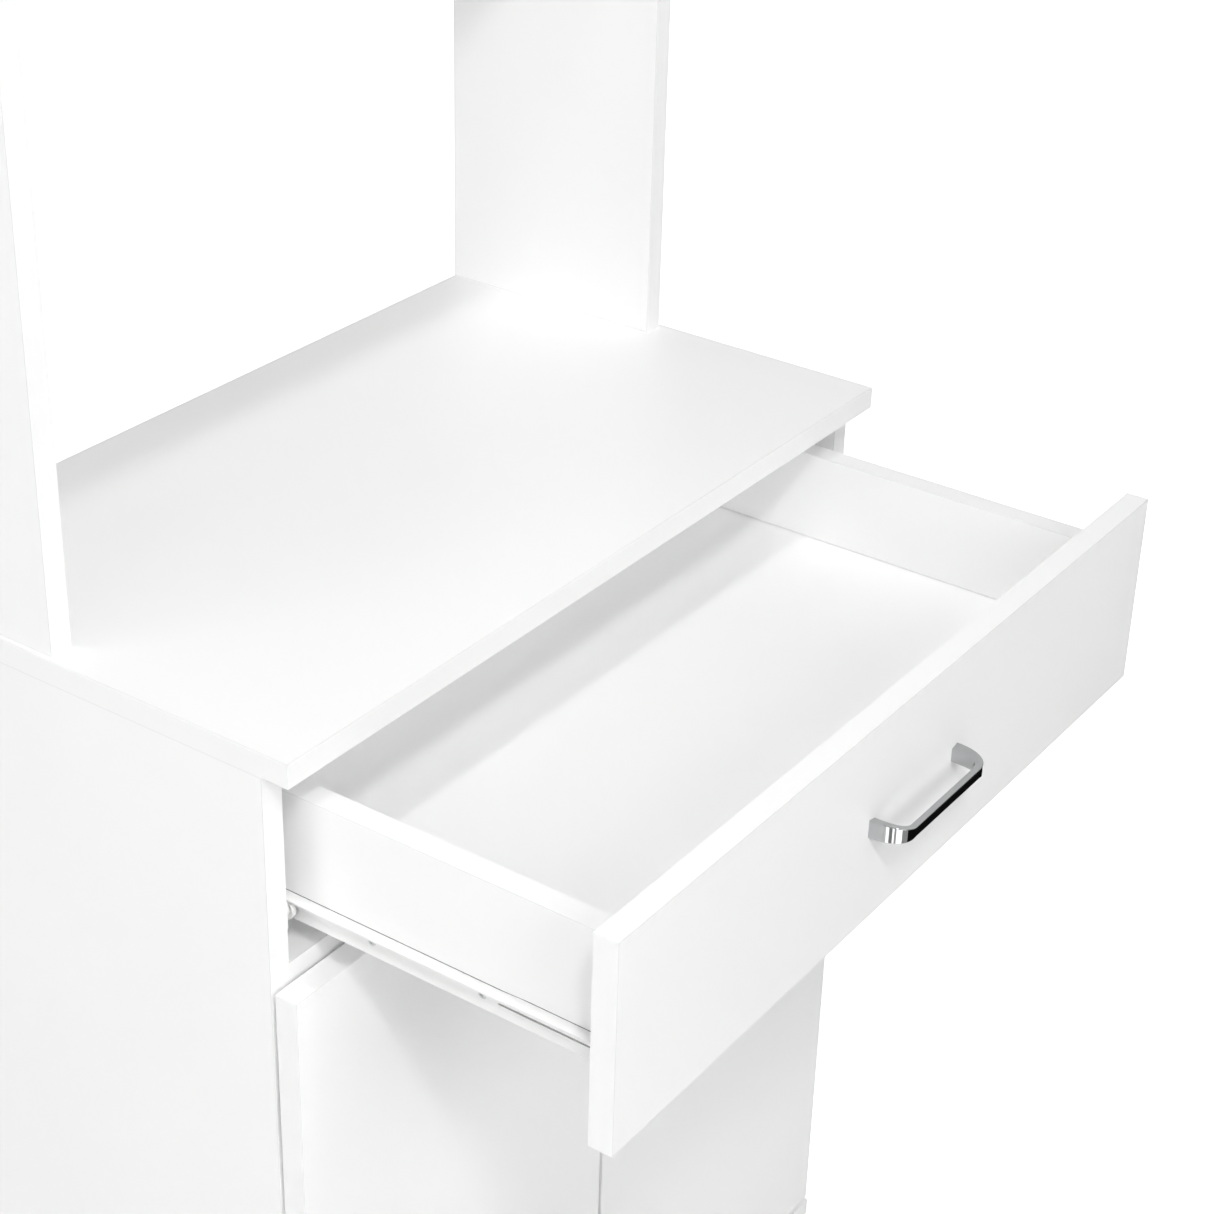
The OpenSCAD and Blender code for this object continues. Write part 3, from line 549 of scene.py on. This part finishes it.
def soften(node, width):
    """Rounds the sharp edges of a CAD node with modifiers, and leaves its mesh alone."""
    obj = NODES[node]
    weld = obj.modifiers.new("weld", "WELD")
    weld.merge_threshold = 0.005 * MM
    flat = obj.modifiers.new("flat", "DECIMATE")
    flat.decimate_type = "DISSOLVE"
    flat.angle_limit = math.radians(0.5)
    bevel = obj.modifiers.new("arris", "BEVEL")
    bevel.width = width
    bevel.segments = 2
    bevel.limit_method = "ANGLE"
    bevel.angle_limit = math.radians(40)
    bevel.use_clamp_overlap = True
    normals = obj.modifiers.new("normals", "WEIGHTED_NORMAL")
    normals.keep_sharp = False


def finish_with(material, nodes, bevel=0.0):
    for node in nodes:
        for slot in NODES[node].material_slots:
            slot.material = material
        if bevel:
            soften(node, bevel)


BOARDS = ["countertop", "left_side_panel", "right_side_panel", "base_board", "fixed_deck",
    "adjustable_shelf", "left_upright", "right_upright", "hutch_shelf", "top_board",
    "mirror_board", "drawer_front", "drawer_left_side", "drawer_right_side", "drawer_back",
    "left_door", "right_door"]
# drawer sides that get painted shade behind their rails
RAIL_OF = {"drawer_left_side": "left_drawer_rail", "drawer_right_side": "right_drawer_rail"}
for board in BOARDS:
    finish_with(melamine(board, RAIL_OF.get(board)), [board], 0.35 * MM)

finish_with(hardboard("back_panel", True), ["back_panel"], 0.2 * MM)
finish_with(hardboard("drawer_bottom", False), ["drawer_bottom"], 0.2 * MM)
finish_with(silvered_glass("mirror_glass"), ["mirror_glass"], 0.8 * MM)
finish_with(EPOXY, ["left_cabinet_rail", "right_cabinet_rail", "left_drawer_rail",
    "right_drawer_rail"], 0.2 * MM)
finish_with(ZINC, ["drawer_corner_brackets", "hinge_plates"], 0.25 * MM)
finish_with(CHROME, ["mirror_clips"], 0.3 * MM)
finish_with(NICKEL, ["hinge_arms"], 0.3 * MM)
finish_with(NICKEL, ["left_hinge_cups", "right_hinge_cups", "left_hinge_pins",
    "right_hinge_pins"])
finish_with(ZINC, ["back_panel_nails", "shelf_pins", "cabinet_cam_locks", "cabinet_cam_bolts",
    "hutch_cam_locks", "hutch_cam_bolts", "upright_screws", "front_roller_pins",
    "rear_roller_pins"])
finish_with(BEECH, ["wood_dowels", "drawer_dowels"])
finish_with(PLASTIC, ["feet", "magnet_catch"])

BODY_OF = {node: body for body, nodes in frame["record"]["behaviour"]["bodies"].items()
    for node in nodes}
for fixing in ("drawer_rail_screws", "cabinet_rail_screws", "mirror_clip_screws",
        "hinge_screws", "magnet_catch_screws", "drawer_bracket_screws", "drawer_handle_screws",
        "left_door_screws", "right_door_screws", "foot_screws"):
    metal, slot = (CHROME, "chrome") if fixing == "mirror_clip_screws" else (ZINC, "zinc_steel")
    screws(fixing, metal, BODY_OF[fixing])

handle("drawer_bow_handle", "drawer_handle", "drawer", X, -Y)
handle("left_door_bow_handle", "left_door_handle", "left_door", Z, -Y)
handle("right_door_bow_handle", "right_door_handle", "right_door", Z, -Y)
rollers("front_nylon_rollers", "front_rollers", "front_rollers")
rollers("rear_nylon_rollers", "rear_rollers", "rear_rollers")


# ---- studio -----------------------------------------------------------------------------

def card(name, size, place, aim, grey, brighten=None):
    """A flat card of the studio, turned from place towards aim. brighten gives two distances
    from the card's middle, and the strength of its own glow at each."""
    mesh = bpy.data.meshes.new(name)
    w, h = size[0] / 2, size[1] / 2
    mesh.from_pydata([(-w, -h, 0), (w, -h, 0), (w, h, 0), (-w, h, 0)], [], [(0, 1, 2, 3)])
    tree = Tree(name, (grey,) * 3, 0.9, Specular_IOR_Level=0.0)
    tree.plug("Base Color", tree.mix(tree.noise(0.8), (grey * 0.985,) * 3, (grey,) * 3))
    if brighten:
        near, far, dim, full = brighten
        away = tree.add("ShaderNodeVectorMath", {0: tree.coordinates}, operation="LENGTH")
        tree.set("Emission Color", (1, 1, 1, 1))
        glow = tree.between(away.outputs["Value"], dim, full, near, far)
        tree.plug("Emission Strength", glow)
    mesh.materials.append(tree.material)
    obj = bpy.data.objects.new(name, mesh)
    bpy.context.scene.collection.objects.link(obj)
    obj.matrix_world = facing((Vector(aim) - Vector(place)).normalized(), place)
    return obj


def glowing(glow):
    """brighten for a card with the same glow all over."""
    return (0, 1, glow, glow)


def seen_only(obj):
    """The card shows to the camera and lights, shades or reflects in nothing."""
    obj.visible_diffuse = False
    obj.visible_glossy = False
    obj.visible_shadow = False


def reflected_only(obj):
    """The card shows in polished and satin surfaces, and nowhere else."""
    obj.visible_camera = False
    obj.visible_diffuse = False
    obj.visible_shadow = False
    obj.visible_transmission = False
    obj.visible_volume_scatter = False


def soft_light(name, place, aim, side, power):
    """A square soft light of the given side in metres and power in watts."""
    light = bpy.data.lights.new(name, "AREA")
    light.size = side
    light.energy = power
    obj = bpy.data.objects.new(name, light)
    bpy.context.scene.collection.objects.link(obj)
    direction = Vector(aim) - Vector(place)
    obj.matrix_world = facing(-direction.normalized(), place)


counter_lo, counter_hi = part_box("countertop")
counter_middle = Vector((0, (counter_lo.y + counter_hi.y) / 2, counter_hi.z))
front_edge = Vector((0, counter_lo.y, counter_hi.z))

# The floor that the camera sees is not the one that throws light back.
PALE = 0.9
STUDIO_W, WALL_AWAY, FULL_GLOW = 60, 29, 1.02
seen_only(card("floor", (STUDIO_W, STUDIO_W), (0, 0, 0), Z, PALE, (0.45, 1.7, 0.80, FULL_GLOW)))
for side, (x, y) in enumerate(((1, 0), (-1, 0), (0, 1), (0, -1))):
    seen_only(card("backdrop_%d" % side, (STUDIO_W, STUDIO_W),
        (x * WALL_AWAY, y * WALL_AWAY, WALL_AWAY), (0, 0, WALL_AWAY), PALE, glowing(FULL_GLOW)))
bounce = card("floor_bounce", (STUDIO_W, STUDIO_W), (0, 0, -0.0005), Z, PALE)
bounce.visible_camera = False

# Cards round the drawer handle, by the turn from -X towards -Y in which they stand. The
# curved leg and the flat bar of the handle mirror them as streaks and a black front.
handle_lo, handle_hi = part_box("drawer_handle")
handle_middle = (handle_lo + handle_hi) / 2
RAY_LEVEL, RAY_DOWN = 0.831, 0.556
for name, turn, distance, size, glow in (
        ("white_1", 3.0, 0.90, (0.10, 0.3), 2.6),
        ("dark_1", 10.0, 0.88, (0.11, 0.3), 0.35),
        ("white_2", 17.0, 0.90, (0.11, 0.3), 2.6),
        ("dark_2", 22.5, 0.88, (0.08, 0.3), 0.6),
        ("white_3", 37.0, 0.90, (0.34, 0.3), 2.6),
        ("grey_1", 63.0, 0.88, (0.40, 0.3), 0.5),
        ("dark_3", 126.0, 0.80, (1.5, 0.8), 0.0)):
    turn = math.radians(turn)
    ray = Vector((-RAY_LEVEL * math.cos(turn), -RAY_LEVEL * math.sin(turn), -RAY_DOWN))
    reflected_only(card(name, size, handle_middle + ray * distance, handle_middle, 0.01,
        glowing(glow)))

world = bpy.data.worlds.new("studio")
bpy.context.scene.world = world
world.use_nodes = True
sky = world.node_tree.nodes["Background"]
sky.inputs["Color"].default_value = (1, 1, 1, 1)
sky.inputs["Strength"].default_value = 0.42

for name, offset, aim, side, power in (
        ("overhead", (-0.1, -0.71, 2.86), counter_middle, 0.2, 17),
        ("front_top", (-1.5, -1.42, 2.2), counter_middle, 0.3, 29),
        ("left_box", (-2.2, -0.5, 1.2), front_edge, 1.0, 5),
        ("back_left_box", (-2.6, 1.2, 0.6), front_edge, 1.2, 14),
        ("front_box", (-1.0, -2.4, 1.2), front_edge, 1.2, 26)):
    soft_light(name, front_edge + Vector(offset), aim, side, power)

scene = bpy.context.scene
scene.view_settings.view_transform = "Standard"
scene.cycles.diffuse_bounces = 10
scene.cycles.max_bounces = 16


# ---- camera -----------------------------------------------------------------------------

HEADING, TILT, ROLL = math.radians(55.4), math.radians(-28.23), math.radians(1.58)
CAMERA_OFFSET = Vector((-1.123, -0.7645, 0.7228))    # from the middle of the top front edge

camera_data = bpy.data.cameras.new("camera")
camera_data.sensor_width = 36.0
camera_data.lens = 76.0
camera_data.shift_y = -0.0395
camera_data.clip_end = 100.0
camera = bpy.data.objects.new("camera", camera_data)
scene.collection.objects.link(camera)
looks = Vector((math.sin(HEADING) * math.cos(TILT), math.cos(HEADING) * math.cos(TILT),
    math.sin(TILT)))
level = looks.cross(Z).normalized()
over = level.cross(looks)
right = level * math.cos(ROLL) + over * math.sin(ROLL)
upright = looks.cross(right) * -1
turned = Matrix((right, upright, -looks)).transposed().to_4x4()
camera.matrix_world = Matrix.Translation(front_edge + CAMERA_OFFSET) @ turned
scene.camera = camera
